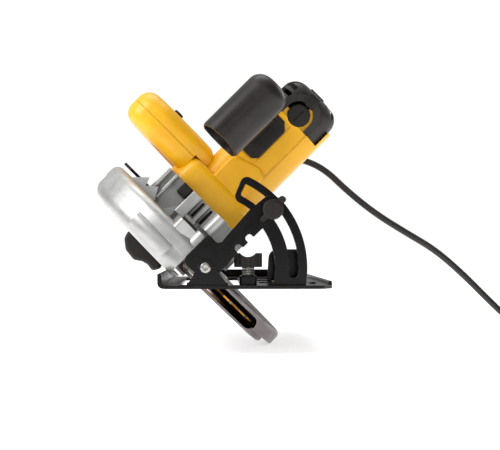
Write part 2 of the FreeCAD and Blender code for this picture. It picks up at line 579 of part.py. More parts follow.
def build_guards():
    save("upper_guard", upper_guard())
    save("gear_case", gear_case())
    save("lower_guard", largest(lower_guard()))
    save("guard_lever", guard_lever())
    save("guard_ring", tube(-1.4, -0.02, SPIN_Y, SPIN_Z, 27, 17))
    save("guard_spring", tube(4.3, 5.7, SPIN_Y, SPIN_Z, 33, 29))
    bolt_y, bolt_z = strap_point(BOLT_REACH, BOLT_ANGLE)
    bolt = rod(6.5, 27, bolt_y, bolt_z, 2.94)
    save("depth_bolt", bolt)
    lever = rod(STRAP_X1 + 0.4, 26, bolt_y, bolt_z, 9)
    blade = slab([(bolt_y - 6, bolt_z - 5, 3), (bolt_y + 44, bolt_z + 6, 4), (bolt_y + 43, bolt_z + 16, 4),
                  (bolt_y - 4, bolt_z + 7, 3)], "yz", 19, 25.5)
    save("depth_lever", lever.fuse(blade).cut(rod(10, 30, bolt_y, bolt_z, 2.94 + FIT)))


# ---- blade, spindle and armature ----------------------------------------------------------------
BLADE_TEETH = 24


def blade():
    """Steel disc with gullets, expansion slots and an arbor hole."""
    step = 2 * math.pi / BLADE_TEETH
    points = []
    for k in range(BLADE_TEETH):
        base = -k * step
        for share, r in ((0.0, BLADE_R - 0.6), (0.30, BLADE_R - 3.4), (0.62, BLADE_R - 10),
                (0.90, BLADE_R - 9.5)):
            angle = base - share * step
            points.append((SPIN_Y + r * math.cos(angle), SPIN_Z + r * math.sin(angle)))
    disc = slab(points, "yz", BLADE_X - BLADE_T / 2, BLADE_X + BLADE_T / 2)
    disc = disc.cut(rod(-12, 0, SPIN_Y, SPIN_Z, 10.0))
    for k in range(4):
        slot = block(-12, 0, SPIN_Y + BLADE_R - 28, SPIN_Y + BLADE_R - 8, SPIN_Z - 0.6, SPIN_Z + 0.6)
        slot.rotate(V(0, SPIN_Y, SPIN_Z), X_AXIS, 90 * k - 12)
        disc = disc.cut(slot)
    return disc


def carbide_tips():
    """Tips brazed to the front of each tooth, a little wider than the plate."""
    tips = []
    for k in range(BLADE_TEETH):
        tip = block(BLADE_X - 1.2, BLADE_X + 1.2, SPIN_Y + BLADE_R - 7.5, SPIN_Y + BLADE_R,
                SPIN_Z + 0.3, SPIN_Z + 2.2)
        tip.rotate(V(0, SPIN_Y, SPIN_Z), X_AXIS, -360.0 * k / BLADE_TEETH)
        tips.append(tip)
    return tips


def build_drive():
    plate = blade()
    tips = [t.cut(plate) for t in carbide_tips()]
    save("blade", plate)
    save("carbide_tips", tips)
    side = BLADE_X + BLADE_T / 2
    save("inner_flange", spun([(side, 10.2), (side, 20, 1), (side + 1.6, 20), (-2.2, 13), (-2.2, 6.0)],
            SPIN_Y, SPIN_Z))
    far = BLADE_X - BLADE_T / 2
    save("outer_flange", spun([(far, 6.1), (far, 20, 1), (far - 1.2, 20), (far - 3, 14),
            (far - 3, 6.1)], SPIN_Y, SPIN_Z))
    save("blade_bolt", hex_head(far - 8.4, far - 3, SPIN_Y, SPIN_Z,
            13).fuse(rod(far - 3, far - 2, SPIN_Y, SPIN_Z, 6.0)))
    spindle = rod(far - 2, 36, SPIN_Y, SPIN_Z, 5.95).fuse(rod(far + 0.1, side - 0.1, SPIN_Y, SPIN_Z, 9.9))
    save("spindle", spindle)
    half = math.pi / GEAR_TEETH
    save("spindle_gear", gear(GEAR_TEETH, 14, 23, SPIN_Y, SPIN_Z, 5.95, 0, 0.85, -1.15))
    pinion = gear(PINION_TEETH, 13.5, 23.5, SPIN_Y, MOTOR_Z, 1.0,
            math.pi + half * GEAR_TEETH / PINION_TEETH, 0.85, -1.15)
    shaft = pinion.fuse(rod(12.6, 30, SPIN_Y, MOTOR_Z, 4.0)).fuse(rod(30, 176.5, SPIN_Y, MOTOR_Z, 4.94))
    save("armature_shaft", shaft)
    save("rotor_core", tube(86, 134, SPIN_Y, MOTOR_Z, 20.5, 4.94))
    windings = spun([(76, 6), (86, 5.2), (86, 18), (80, 18, 4), (76, 13)], SPIN_Y, MOTOR_Z)
    rear = spun([(134, 5.2), (142, 6), (142, 13), (139, 18, 4), (134, 18)], SPIN_Y, MOTOR_Z)
    save("armature_windings", [windings, rear])
    commutator = tube(144, 160, SPIN_Y, MOTOR_Z, 12, 4.94)
    for k in range(24):
        cut = block(143, 161, SPIN_Y + 11.2, SPIN_Y + 13, MOTOR_Z - 0.3, MOTOR_Z + 0.3)
        cut.rotate(V(0, SPIN_Y, MOTOR_Z), X_AXIS, 15 * k)
        commutator = commutator.cut(cut)
    save("commutator", commutator)
    fan = tube(50, 64, SPIN_Y, MOTOR_Z, 9, 4.94).fuse(tube(50, 52, SPIN_Y, MOTOR_Z, 27, 8))
    for k in range(11):
        vane = block(51.5, 63, SPIN_Y + 8, SPIN_Y + 26.5, MOTOR_Z - 0.8, MOTOR_Z + 0.8)
        vane.rotate(V(0, SPIN_Y, MOTOR_Z), X_AXIS, 360.0 * k / 11)
        fan = fan.fuse(vane)
    save("cooling_fan", fan.removeSplitter())
    save("spindle_bearings", [tube(1, 8.9, SPIN_Y, SPIN_Z, 15.99, 5.95 + FIT),
            tube(27, 33, SPIN_Y, SPIN_Z, 11.99, 5.95 + FIT)])
    save("armature_bearings", [tube(33, 39, SPIN_Y, MOTOR_Z, 12.99, 4.94 + FIT),
            tube(169, 176, SPIN_Y, MOTOR_Z, 10.99, 4.94 + FIT)])


# ---- motor housing and handle -------------------------------------------------------------------
HOUSE_Y0, HOUSE_Y1, HOUSE_Z0, HOUSE_Z1 = -60.0, 28.0, 4.5, 70.0
CAP_X, CAP_Z, CAP_R = 161.4, 38.8, 10.8
TRIGGER_Y0, TRIGGER_Y1 = -28.0, -2.0
HANDLE_SCREWS = [(HANDLE_X0 + 6, HANDLE_X1 - 2, y, z, 1.9, 3.6) for y,
        z in ((116, 82), (110, 28), (-52, 102))]
CAP_SCREWS = [(END_X - 14, END_X - 1.5, y, z, 2.0, 3.8) for y, z in ((-44, 22), (14, 22))]
LOCK_Y, LOCK_Z = -51.0, 120.0


def motor_housing():
    """Moulded motor housing: a stepped shroud round the fan, the field section and the brush tongues."""
    outer = slab(box_points(HOUSE_Y0, HOUSE_Y1, HOUSE_Z0, HOUSE_Z1, 20), "yz", CASE_X1, HOUSE_X1)
    shroud = slab(
        [(HOUSE_Y0 - 7, 2.5, 16), (HOUSE_Y1 + 5, 2.5, 16), (HOUSE_Y1 + 5, 78, 16), (-40, 90, 14),
            (HOUSE_Y0 - 7, 78, 12)],
        "yz", CASE_X1 + 0.02, 66)
    shroud = ease(shroud, 8, at_x(66))
    raised = slab([(CASE_X1, 20, 0), (104, 20, 10), (92, 56, 8), (CASE_X1, 56, 0)], "xz",
            HOUSE_Y0 - 3.4, -30)
    raised = ease(raised, 2.6, at_y(HOUSE_Y0 - 3.4))
    body = outer.fuse(shroud).fuse(raised)
    tongue = rod_y(HOUSE_Y0 + 2, -50, CAP_X, CAP_Z, 13.6).fuse(block(HOUSE_X1 - 12, CAP_X, HOUSE_Y0 + 2,
            -50, CAP_Z - 13.6, CAP_Z + 13.6))
    far_tongue = rod_y(18, HOUSE_Y1 - 2, CAP_X, CAP_Z, 13.6).fuse(
        block(HOUSE_X1 - 12, CAP_X, 18, HOUSE_Y1 - 2, CAP_Z - 13.6, CAP_Z + 13.6))
    mouth = slab([(CAP_X, CAP_Z), (CAP_X + 30, CAP_Z - 8), (CAP_X + 30, CAP_Z + 30),
            (CAP_X - 3, CAP_Z + 30)], "xz", -80, 60)
    lip = slab(box_points(HOUSE_Y0, HOUSE_Y1, HOUSE_Z0, HOUSE_Z1, 20), "yz", HOUSE_X1 - 1, HOUSE_X1 + 18)
    lip = lip.common(block(HOUSE_X1 - 1, END_X, HOUSE_Y0, HOUSE_Y1, HOUSE_Z0, HOUSE_Z0 + 3.1))
    body = body.fuse(tongue.fuse(far_tongue).cut(mouth)).fuse(lip)
    inner = slab(box_points(HOUSE_Y0 + 3, HOUSE_Y1 - 3, HOUSE_Z0 + 3, HOUSE_Z1 - 3, 17.5), "yz",
            CASE_X1 - 1, HOUSE_X1 + 1)
    wide = slab([(HOUSE_Y0 - 4, 6, 12), (HOUSE_Y1 + 2, 6, 12), (HOUSE_Y1 + 2, 70, 12),
            (HOUSE_Y0 - 4, 70, 12)],
                "yz", CASE_X1 - 1, 56)
    body = body.cut(inner).cut(wide)
    body = body.cut(rod_y(-90, 60, CAP_X, CAP_Z, CAP_R + 0.05))
    for level in (15.0, 21.0):
        groove = block(96, HOUSE_X1 + 1, HOUSE_Y0 - 1, HOUSE_Y0 + 0.9, level - 0.8, level + 0.8)
        body = body.cut(groove)
    for k in range(6):
        vent = slab(box_points(102 + 6 * k, 105 + 6 * k, 20, 50, 1.4), "xz", HOUSE_Y1 - 4, HOUSE_Y1 + 1)
        body = body.cut(vent)
    seat = block(100, 148, HOUSE_Y0 - 1, HOUSE_Y0 + 0.6, 36.5, 64)
    body = body.cut(seat)
    return body.removeSplitter()


def end_cap():
    """Dark end cover with cooling slots around its corner and cut-outs for the brush tongues."""
    cap = slab(box_points(HOUSE_Y0 + 1, HOUSE_Y1 - 1, HOUSE_Z0 + 3.2, HOUSE_Z1 - 0.6, 19), "yz",
            HOUSE_X1 + 0.02, END_X)
    cap = ease(cap, 15, at_x(END_X))
    inner = slab(box_points(HOUSE_Y0 + 4, HOUSE_Y1 - 4, HOUSE_Z0 + 6.2, HOUSE_Z1 - 3.6, 16), "yz",
            HOUSE_X1 - 1, END_X - 12)
    cap = cap.cut(inner)
    for y0, y1 in ((HOUSE_Y0 - 1.6, HOUSE_Y0 + 4), (HOUSE_Y1 - 4, HOUSE_Y1 + 1.6)):
        cap = cap.fuse(rod_y(y0, y1, CAP_X, CAP_Z, 20.5).common(block(HOUSE_X1 + 0.02, END_X, -80, 60,
                0, 90)))
    for y0, y1 in ((HOUSE_Y0 - 5, -49.9), (17.9, HOUSE_Y1 + 5)):
        cap = cap.cut(rod_y(y0, y1, CAP_X, CAP_Z, 13.62))
        cap = cap.cut(block(HOUSE_X1 - 1, CAP_X, y0, y1, CAP_Z - 13.62, CAP_Z + 13.62))
    for k in range(5):
        slot = block(END_X - 9, END_X + 1, -52 + 16 * k, -44 + 16 * k, 46, 90)
        cap = cap.cut(slot.common(block(160, 200, -50, 20, 58, 90)))
        slot = block(END_X - 10, END_X + 1, -52 + 16 * k, -44 + 16 * k, 14, 28)
        cap = cap.cut(slot)
    for k in range(3):
        cap = cap.cut(block(160 + 8 * k, 164.5 + 8 * k, HOUSE_Y0 - 1, -44, HOUSE_Z1 - 12, HOUSE_Z1 + 1))
    seat = tube(168, END_X - 8, SPIN_Y, MOTOR_Z, 14, 11.0)
    arms = block(176, 180, HOUSE_Y0 + 5, HOUSE_Y1 - 5, MOTOR_Z - 3,
            MOTOR_Z + 3).cut(rod(160, 190, SPIN_Y, MOTOR_Z, 12))
    clip = ease(block(END_X - 1, END_X + 3.5, -34, 4, 32, 49), 1.6, at_x(END_X + 3.5))
    cap = cap.fuse(seat).fuse(arms).fuse(clip)
    for hole in CAP_SCREWS:
        cap = cap.cut(screw_room(*hole))
    return cap.removeSplitter()


def handle_outlines():
    outer = [(-52, 66), (-66, 88, 20), (-70, 128, 30), (-58, 160.5, 26), (-4, 157, 60), (92, 112, 40),
            (134, 62, 26),
             (126, 22, 16), (70, 14, 20), (HOUSE_Y1 + 5.1, 20), (HOUSE_Y1 + 5.1, 62)]
    hole = [(-18, 92, 10), (-34, 100, 10), (-34, 124, 12), (-4, 122, 30), (74, 86, 26), (98, 58, 12),
            (84, 44, 12),
            (48, 52, 14), (34, 84, 14)]
    return outer, hole


def touches(solid):
    """Edges whose middle lies in or on a solid."""
    def test(edge):
        middle = edge.valueAt((edge.FirstParameter + edge.LastParameter) / 2)
        return solid.distToShape(Part.Vertex(middle))[0] < 0.01
    return test


def handle_solid():
    """The whole D handle before it is split: a rounded loop with a hollow for the switch."""
    outer, hole = handle_outlines()
    body = slab(outer, "yz", HANDLE_X0, HANDLE_X1)
    body = ease(body, 13, lambda e: at_x(HANDLE_X0)(e) or at_x(HANDLE_X1)(e))
    window = slab(hole, "yz", HANDLE_X0 - 1, HANDLE_X1 + 1)
    body = body.cut(window)
    on_window = touches(window)
    body = ease(body, 8, lambda e: (at_x(HANDLE_X0)(e) or at_x(HANDLE_X1)(e)) and on_window(e))
    hollow = slab([(-58, 106, 5), (-42, 106, 3), (-41, 131, 5), (-4, 131, 8), (72, 96), (80, 103),
            (56, 118, 8),
                   (-6, 147, 12), (-48, 151, 10), (-61, 128, 8)], "yz", HANDLE_X0 + 5.5, HANDLE_X1 - 5.5)
    return body.cut(hollow)


def handles():
    whole = handle_solid()
    middle = (HANDLE_X0 + HANDLE_X1) / 2
    whole = whole.cut(block(middle - 7.5, middle + 7.5, TRIGGER_Y0 - 0.6, TRIGGER_Y1 + 0.6, 100, 140))
    whole = whole.cut(rod(HANDLE_X1 - 8, HANDLE_X1 + 1, LOCK_Y, LOCK_Z, 5.3))
    housing = slab(box_points(HOUSE_Y0, HOUSE_Y1, HOUSE_Z0, HOUSE_Z1, 20), "yz", CASE_X1, HOUSE_X1)
    base = slab([(HOUSE_Y0 - 7, 2.5, 16), (HOUSE_Y1 + 5, 2.5, 16), (HOUSE_Y1 + 5, 78, 16), (-40, 90, 14),
                 (HOUSE_Y0 - 7, 78, 12)], "yz", CASE_X1, 66.2)
    whole = whole.cut(base).cut(housing)
    for hole in HANDLE_SCREWS:
        whole = whole.cut(screw_room(*hole))
    left = whole.common(block(0, middle - 0.15, -200, 200, -50, 200))
    right = whole.common(block(middle + 0.15, 200, -200, 200, -50, 200))
    return left, right


def trigger():
    """Pull trigger with a finger-shaped face, which slides up into the grip."""
    face = [(TRIGGER_Y0, 110, 3), (-20, 104.5, 6), (-10, 105.5, 6), (TRIGGER_Y1, 108, 3),
            (TRIGGER_Y1, 133), (TRIGGER_Y0, 133)]
    middle = (HANDLE_X0 + HANDLE_X1) / 2
    body = slab(face, "yz", middle - 7.1, middle + 7.1)
    return ease(body, 2.2, lambda e: (at_x(middle - 7.1)(e) or at_x(middle + 7.1)(e)) and e.BoundBox.ZMax < 112)


def front_handle():
    """Chunky auxiliary grip with rounded ends, hollow from its inner end."""
    x0, x1, y, z, r = 86.0, 160.0, -108.0, 71.5, 20.5
    grip = spun([(x0, 0), (x1, 0), (x1, r, 13), (x0, r, 5)], y, z)
    grip = grip.cut(spun([(x0 - 1, 0), (x0 + 34, 0), (x0 + 34, r - 3.2, 8), (x0 - 1, r - 2.2)], y, z))
    arm = slab([(HOUSE_Y0 - 3, 50, 3), (y + 6, 54, 3), (y + 6, 66), (HOUSE_Y0 - 3, 66, 3)], "yz", 112, 140)
    arm = arm.cut(rod(x0, x1, y, z, r - 1))
    slant = slab([(x0 - 1, y - 22), (x0 + 5.5, y - 22), (x0 - 1, y + 16)], "xy", 40, 100)
    grip = grip.cut(slant)
    return grip.fuse(arm).removeSplitter()


def handle_plate():
    """Panel under the front handle, screwed to the motor housing."""
    plate = slab([(101, 42, 3), (106, 37, 3), (141, 37, 3), (147.5, 44, 3), (147.5, 63.5, 3),
            (101, 63.5, 3)],
                 "xz", HOUSE_Y0 - 3, HOUSE_Y0 + 0.6)
    return ease(plate, 1.4, at_y(HOUSE_Y0 - 3))


def gland():
    """Tapered rubber strain relief with grooves, on the rear of the motor housing."""
    start, end, x, z = HOUSE_Y1, HOUSE_Y1 + 44, 95.0, 50.0
    cone = Part.makeCone(8.5, 5.4, end - start, V(x, start, z), Y_AXIS)
    collar = rod_y(start, start + 5, x, z, 10.5)
    body = cone.fuse(collar)
    for k in range(5):
        y = start + 12 + 6 * k
        ring = rod_y(y, y + 1.8, x, z, 12).cut(rod_y(y - 1, y + 3, x, z, 5.9 - 0.25 * k))
        body = body.cut(ring)
    return body.cut(rod_y(end - 8, end + 1, x, z, CORD_R))


def build_motor():
    save("motor_housing", largest(motor_housing()))
    save("end_cap", largest(end_cap()))
    caps, holders, brushes = [], [], []
    for y0, sign in ((HOUSE_Y0 - 0.5, 1), (HOUSE_Y1 + 0.5, -1)):
        y1 = y0 + 9 * sign
        cap = rod_y(min(y0, y1), max(y0, y1), CAP_X, CAP_Z, CAP_R)
        cap = ease(cap, 1.6, at_y(y0))
        notch = block(CAP_X - 7, CAP_X + 7, min(y0, y0 + sign * 1.4), max(y0, y0 + sign * 1.4),
                CAP_Z - 1.1, CAP_Z + 1.1)
        caps.append(cap.cut(notch))
        inner = SPIN_Y - sign * 13
        low, high = sorted((y1, inner))
        holders.append(block(147, 159, low, high, CAP_Z - 6, CAP_Z + 6).cut(block(148.9, 157.1, low - 1,
            high + 1, CAP_Z - 4.1, CAP_Z + 4.1)))
        low, high = sorted((inner - sign * 12, inner + sign * 0.6))
        brushes.append(block(149, 157, low, high, CAP_Z - 4, CAP_Z + 4))
    save("brush_caps", caps)
    save("brush_holders", holders)
    save("carbon_brushes", brushes)
    save("stator_core", tube(84, 136, SPIN_Y, MOTOR_Z, 27.9, 21.6))
    coils = []
    for x0, x1 in ((72, 83.5), (136.5, 146)):
        coils.append(ease(tube(x0, x1, SPIN_Y, MOTOR_Z, 27.5, 22), 3, lambda e: True))
    save("field_coils", coils)
    left, right = handles()
    save("handle_left", largest(left))
    save("handle_right", largest(right))
    save("trigger", trigger())
    save("switch_body", block(52.5, 75.5, -43, -8, 139.6, 143).fuse(block(54, 74, -41, -10, 143, 146.2)))
    button = ease(rod(HANDLE_X1 - 7, HANDLE_X1 + 2.4, LOCK_Y, LOCK_Z, 4.9), 1.2, at_x(HANDLE_X1 + 2.4))
    save("lock_off_button", button)
    save("front_handle", front_handle())
    save("handle_plate", handle_plate())
    lock = ease(block(30.2, 40.8, -92, -60.9, 57.8, 68.0), 1.5, at_y(-92))
    save("spindle_lock_button", lock)
    save("cable_gland", gland())
    save("housing_screws", [screw_x(*place) for place in HANDLE_SCREWS + CAP_SCREWS])


# ---- cord ---------------------------------------------------------------------------------------
# Route of the free cord in the row frame, from the gland's end down to the coil on the floor.
CORD_ROUTE = [
    (-2.8, 72, 120.6), (-1.2, 90, 121.4), (7, 112, 125), (27, 129, 132), (58, 137, 137), (92, 135, 126),
    (122, 133.5, 97), (152, 132, 73), (184, 131, 53), (218, 130, 33), (248, 130, 7), (276, 130.6, -21),
    (298, 131, -42), (314, 131.1, -51), (329, 131.2, FLOOR_Z + CORD_R),
]


def rounded_path(points):
    """Straight runs joined by tangent arcs, each as large as its two runs allow."""
    nodes = [V(*p) for p in points]
    edges = []
    last = nodes[0]
    radii = []
    for before, here, after in zip(nodes, nodes[1:], nodes[2:]):
        into = here - before
        out = after - here
        run = 0.45 * min(into.Length, out.Length)
        into.normalize()
        out.normalize()
        turn = into.getAngle(out)
        radius = run / math.tan(turn / 2)
        radii.append(round(radius))
        start = here - into * run
        end = here + out * run
        towards = out - into
        towards.normalize()
        centre = here + towards * (radius / math.cos(turn / 2))
        edges.append(Part.LineSegment(last, start).toShape())
        edges.append(Part.Arc(start, centre - towards * radius, end).toShape())
        last = end
    edges.append(Part.LineSegment(last, nodes[-1]).toShape())
    print("cord radii", radii)
    return Part.Wire(edges)


def cord_tube():
    path = rounded_path(CORD_ROUTE)
    first = V(*CORD_ROUTE[0])
    direction = V(*CORD_ROUTE[1]) - first
    circle = Part.Wire(Part.makeCircle(CORD_R, first, direction))
    pipe = path.makePipeShell([circle], True, False)
    print("cord tube length", round(path.Length, 1), "volume ratio",
            pipe.Volume / (math.pi * CORD_R**2 * path.Length))
    return pipe


def cord_coil():
    """Outer shape of the coil, four turns wide and two high, with a stub at each end of the cord."""
    x, y = COIL_C
    inner, outer = COIL_R - 2 * COIL_TURN - 0.4, COIL_R + 2 * COIL_TURN + 0.4
    low, high = FLOOR_Z + 0.5, FLOOR_Z + 2 * COIL_TURN - 0.5
    ring = rod_z(low, high, x, y, outer).cut(rod_z(low - 1, high + 1, x, y, inner))
    entry_x = CORD_ROUTE[-1][0]
    entry = Part.makeCylinder(CORD_R, x - entry_x, V(entry_x, y + COIL_LANE, FLOOR_Z + CORD_R), X_AXIS)
    leave = Part.makeCylinder(CORD_R, COIL_TAIL, V(x + COIL_LANE, y - COIL_TAIL, TAIL_Z), Y_AXIS)
    return ring.fuse(entry).fuse(leave)


def plug():
    """Moulded two-pin plug lying on the floor at the end of the cord."""
    x = COIL_C[0] + COIL_LANE
    y = COIL_C[1] - COIL_TAIL
    z = FLOOR_Z + 9.2
    neck = Part.makeCone(4.6, 6.5, 16, V(x, y, TAIL_Z), V(0, -1, 0))
    shell = block(x - 16, x + 16, y - 44, y - 14, FLOOR_Z, FLOOR_Z + 18.4)
    shell = ease(shell, 7, lambda e: abs(e.BoundBox.YMax - e.BoundBox.YMin) > 20)
    shell = ease(shell, 3, at_y(y - 14))
    pins = [rod_y(y - 62, y - 44, x + side, z, 2.4) for side in (-9.5, 9.5)]
    pins = [ease(pin, 1.2, at_y(y - 62)) for pin in pins]
    return shell.fuse(neck), pins


def build_cord():
    save("cord_tube", cord_tube(), head=False)
    save("cord_coil", cord_coil(), head=False)
    x, y = COIL_C[0] - COIL_R, COIL_C[1]
    top = FLOOR_Z + 2 * COIL_TURN
    tie = block(x - 17, x + 17, y - 5, y + 5, FLOOR_Z + 0.2, top + 1.6)
    void = block(x - 15.6, x + 15.6, y - 6, y + 6, FLOOR_Z - 1, top + 0.3)
    save("cord_tie", tie.cut(void), head=False)
    body, pins = plug()
    save("plug", body, head=False)
    save("plug_pins", pins, head=False)


build_shoe()
build_tilt_frame()
build_guards()
build_drive()
build_motor()
build_cord()
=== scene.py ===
"""Looks of the corded circular saw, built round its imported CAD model. Metres, row frame."""
import bpy
import bmesh
import math
from mathutils import Matrix, Vector


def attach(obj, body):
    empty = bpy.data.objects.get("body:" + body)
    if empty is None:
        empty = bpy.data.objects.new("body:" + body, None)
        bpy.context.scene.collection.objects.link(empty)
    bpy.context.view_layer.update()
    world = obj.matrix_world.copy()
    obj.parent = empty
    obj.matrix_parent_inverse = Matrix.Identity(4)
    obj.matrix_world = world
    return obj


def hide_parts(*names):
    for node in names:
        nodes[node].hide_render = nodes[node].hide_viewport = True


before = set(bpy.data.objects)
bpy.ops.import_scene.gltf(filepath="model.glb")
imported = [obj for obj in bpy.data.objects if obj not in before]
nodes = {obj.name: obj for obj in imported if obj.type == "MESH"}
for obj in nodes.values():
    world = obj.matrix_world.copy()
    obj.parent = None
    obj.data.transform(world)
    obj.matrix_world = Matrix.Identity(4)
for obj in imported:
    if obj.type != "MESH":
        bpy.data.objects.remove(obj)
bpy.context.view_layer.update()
MM = 0.001

# ---- places that repeat the CAD's driving dimensions, in mm --------------------------------------
PIVOT = Vector((-34.6, 0.0, 18.0)) * MM
TILT = math.radians(-45)
HEAD = Matrix.Translation(PIVOT) @ Matrix.Rotation(TILT, 4, "Y")
SPIN_Y, SPIN_Z = -15.0, 10.0
MOTOR_Z = 38.8
FLOOR_Z = -57.0
CORD_R = 3.6
TURN = 2 * CORD_R
COIL_X, COIL_Y, COIL_R = 358.0, 77.4, 43.0


# ---- camera --------------------------------------------------------------------------------------
CAMERA_AT = (-0.0256, -1.1, 0.036)
CAMERA_TOWARD = Vector((0.0306, 1.0, 0.0198))
LENS_MM, SENSOR_MM = 80, 36


def make_camera():
    data = bpy.data.cameras.new("camera")
    data.lens = LENS_MM
    data.sensor_width = SENSOR_MM
    data.clip_end = 60
    cam = bpy.data.objects.new("camera", data)
    bpy.context.scene.collection.objects.link(cam)
    cam.location = CAMERA_AT
    cam.rotation_mode = "QUATERNION"
    cam.rotation_quaternion = CAMERA_TOWARD.to_track_quat("-Z", "Y")
    bpy.context.scene.camera = cam


make_camera()


# ---- node helpers --------------------------------------------------------------------------------
def linear(rgb):
    """sRGB numbers of 0 to 255 as linear RGBA."""
    out = []
    for c in rgb:
        c = c / 255
        out.append(c / 12.92 if c <= 0.04045 else ((c + 0.055) / 1.055) ** 2.4)
    return (*out, 1.0)


class Graph:
    """A material's node tree, with short calls for what these materials share."""

    def __init__(self, name):
        self.mat = bpy.data.materials.new(name)
        self.mat.use_nodes = True
        self.tree = self.mat.node_tree
        self.bsdf = self.tree.nodes["Principled BSDF"]
        self.coords = self.node("TexCoord").outputs["Object"]
        self.normal = None

    def node(self, kind, **settings):
        n = self.tree.nodes.new("ShaderNode" + kind)
        for key, value in settings.items():
            setattr(n, key, value)
        return n

    def link(self, a, b):
        self.tree.links.new(a, b)

    def put(self, socket, value):
        if hasattr(value, "is_linked"):
            self.link(value, socket)
        else:
            socket.default_value = value

    def head_coords(self, shift=(0, 0, 0)):
        """Object coordinates turned into the upright head frame, then shifted."""
        m = self.node("Mapping")
        m.inputs["Rotation"].default_value = (0, -TILT, 0)
        move = -(Matrix.Rotation(-TILT, 3, "Y") @ PIVOT) + Vector(shift)
        m.inputs["Location"].default_value = move
        self.link(self.coords, m.inputs["Vector"])
        return m.outputs["Vector"]

    def stretch(self, vector, scale):
        m = self.node("Mapping")
        m.inputs["Scale"].default_value = scale
        self.link(vector, m.inputs["Vector"])
        return m.outputs["Vector"]

    def noise(self, scale, detail=3.0, rough=0.55, vector=None, distortion=0.0):
        n = self.node("TexNoise")
        n.inputs["Scale"].default_value = scale
        n.inputs["Detail"].default_value = detail
        n.inputs["Roughness"].default_value = rough
        n.inputs["Distortion"].default_value = distortion
        self.link(vector or self.coords, n.inputs["Vector"])
        return n.outputs["Fac"]

    def cells(self, scale, feature="F1", vector=None):
        n = self.node("TexVoronoi", feature=feature)
        n.inputs["Scale"].default_value = scale
        self.link(vector or self.coords, n.inputs["Vector"])
        return n.outputs["Distance"]

    def span(self, value, lo, hi, to_lo=0.0, to_hi=1.0):
        n = self.node("MapRange")
        for key, number in zip(("From Min", "From Max", "To Min", "To Max"), (lo, hi, to_lo, to_hi)):
            n.inputs[key].default_value = number
        self.link(value, n.inputs["Value"])
        return n.outputs["Result"]

    def math(self, op, a, b=0.0, c=0.0):
        n = self.node("Math", operation=op)
        for socket, value in zip(n.inputs, (a, b, c)):
            self.put(socket, value)
        return n.outputs[0]

    def mix(self, factor, a, b):
        n = self.node("Mix", data_type="RGBA")
        self.put(n.inputs[0], factor)
        self.put(n.inputs[6], a)
        self.put(n.inputs[7], b)
        return n.outputs[2]

    def bump(self, height, depth, strength=1.0):
        """Adds one layer of relief, depth in metres, over what is there."""
        n = self.node("Bump")
        n.inputs["Strength"].default_value = strength
        n.inputs["Distance"].default_value = depth
        self.link(height, n.inputs["Height"])
        if self.normal:
            self.link(self.normal, n.inputs["Normal"])
        self.normal = n.outputs["Normal"]

    def rounded(self, radius, samples=4):
        """Softens the hard CAD edges and gives back a mask of where they are."""
        n = self.node("Bevel", samples=samples)
        n.inputs["Radius"].default_value = radius
        geometry = self.node("NewGeometry")
        dot = self.node("VectorMath", operation="DOT_PRODUCT")
        self.link(n.outputs["Normal"], dot.inputs[0])
        self.link(geometry.outputs["Normal"], dot.inputs[1])
        self.normal = n.outputs["Normal"]
        return self.span(dot.outputs["Value"], 0.995, 0.86)

    def done(self, colour, rough, metal=0.0, **plain):
        self.put(self.bsdf.inputs["Base Color"], colour)
        self.put(self.bsdf.inputs["Roughness"], rough)
        self.put(self.bsdf.inputs["Metallic"], metal)
        for key, value in plain.items():
            self.bsdf.inputs[key.replace("_", " ")].default_value = value
        if self.normal:
            self.link(self.normal, self.bsdf.inputs["Normal"])
        return self.mat


def plastic(name, base, dark, light, rough=0.42, grain=3200, depth=0.00002, edge=0.0006, wear=0.35,
            cells=0.0, gloss=0.5):
    """Moulded plastic: fine texture, faint flow marks, polished and paler edges, a little dust."""
    g = Graph(name)
    rim = g.rounded(edge)
    flow = g.noise(38, 4, 0.6, distortion=0.6)
    tone = g.mix(g.span(flow, 0.35, 0.7), linear(base), linear(dark))
    specks = g.span(g.noise(900, 2), 0.62, 0.74, 0.0, 0.16)
    tone = g.mix(specks, tone, linear(light))
    worn = g.math("MULTIPLY", rim, g.span(g.noise(150, 3), 0.42, 0.66, 0.0, wear))
    tone = g.mix(worn, tone, linear(light))
    g.bump(g.noise(grain, 2, 0.5), depth, 0.55)
    if cells:
        g.bump(g.cells(cells, "SMOOTH_F1"), depth * 3, 0.4)
    shine = g.span(g.noise(60, 3), 0.3, 0.7, rough - 0.05, rough + 0.07)
    shine = g.math("SUBTRACT", shine, g.math("MULTIPLY", rim, 0.08))
    return g.done(tone, shine, Specular_IOR_Level=gloss)


def metal(name, base, dark, light, rough=0.34, grain=1300, depth=0.00005, edge=0.0005, metallic=1.0,
          pits=0.0):
    """Cast or sheet metal with grain, blotchy staining and bright edges."""
    g = Graph(name)
    rim = g.rounded(edge)
    cloud = g.noise(26, 5, 0.62, distortion=0.4)
    tone = g.mix(g.span(cloud, 0.38, 0.68), linear(base), linear(dark))
    tone = g.mix(g.math("MULTIPLY", rim, g.span(g.noise(240, 3), 0.35, 0.6, 0.0, 0.8)), tone, linear(light))
    g.bump(g.noise(grain, 4, 0.6), depth, 0.6)
    if pits:
        g.bump(g.cells(pits), depth * 0.8, 0.35)
    shine = g.span(g.noise(110, 4), 0.3, 0.7, rough - 0.07, rough + 0.09)
    return g.done(tone, shine, metallic)


